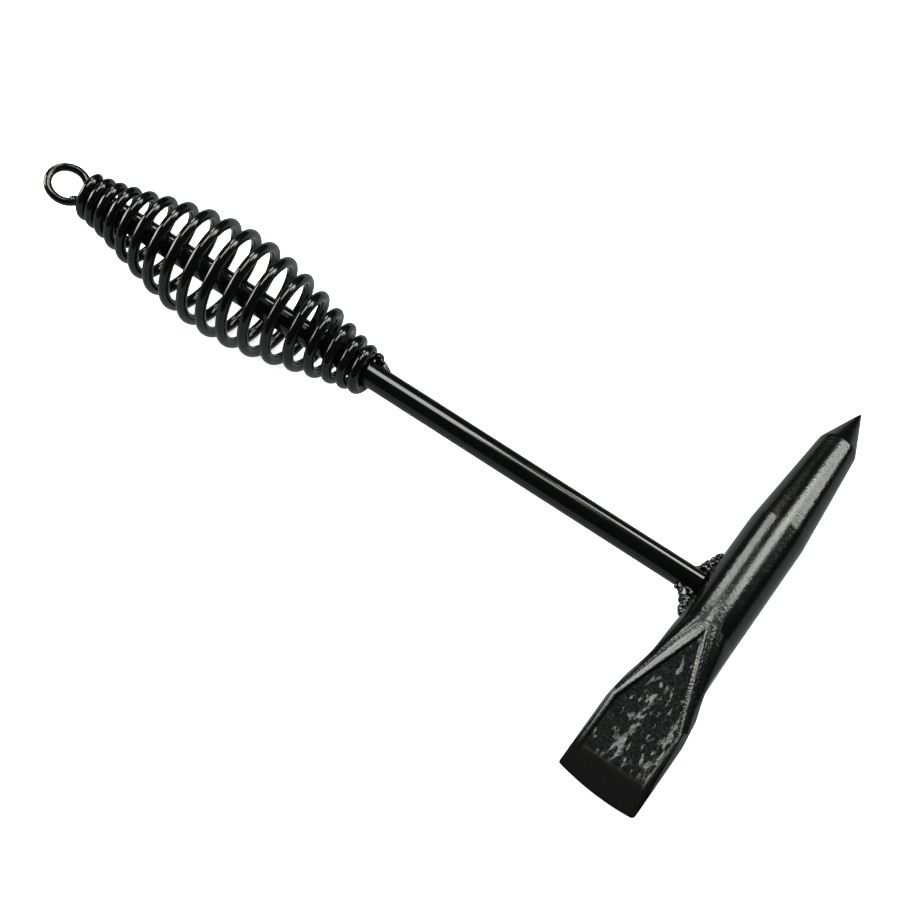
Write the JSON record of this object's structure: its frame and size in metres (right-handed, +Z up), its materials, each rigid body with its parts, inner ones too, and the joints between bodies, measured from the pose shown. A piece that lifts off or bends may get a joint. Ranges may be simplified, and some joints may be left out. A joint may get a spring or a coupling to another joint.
{
  "type": "chipping hammer",
  "caption": "Welder's slag hammer: forged head with a pointed pick and a wide chisel, steel rod handle, barrel spring grip and hanging ring, all welded together.",
  "frame": {"origin": "on the bench, under the middle of the hammer's bounding box as it rests on its head and the belly of its grip", "axes": "+X along the handle from the hanging ring to the head, +Y from the chisel to the pick, +Z up from the bench; the handle rises 2.9 degrees towards the ring"},
  "size_m": [0.2676, 0.1624, 0.0367],
  "materials": {
    "head_enamel": "gloss black enamel over forged steel",
    "rod_enamel": "gloss black enamel on drawn bar",
    "spring_enamel": "gloss black enamel on spring wire",
    "ring_enamel": "gloss black enamel on wire",
    "weld_enamel": "gloss black enamel over weld metal"
  },
  "bodies": {
    "root": {"hammer_head": "head_enamel", "handle_rod": "rod_enamel", "spring_grip": "spring_enamel", "hang_ring": "ring_enamel", "head_weld_pick_side": "weld_enamel", "head_weld_chisel_side": "weld_enamel", "grip_weld": "weld_enamel", "ring_weld_pick_side": "weld_enamel", "ring_weld_chisel_side": "weld_enamel"}
  },
  "joints": []
}
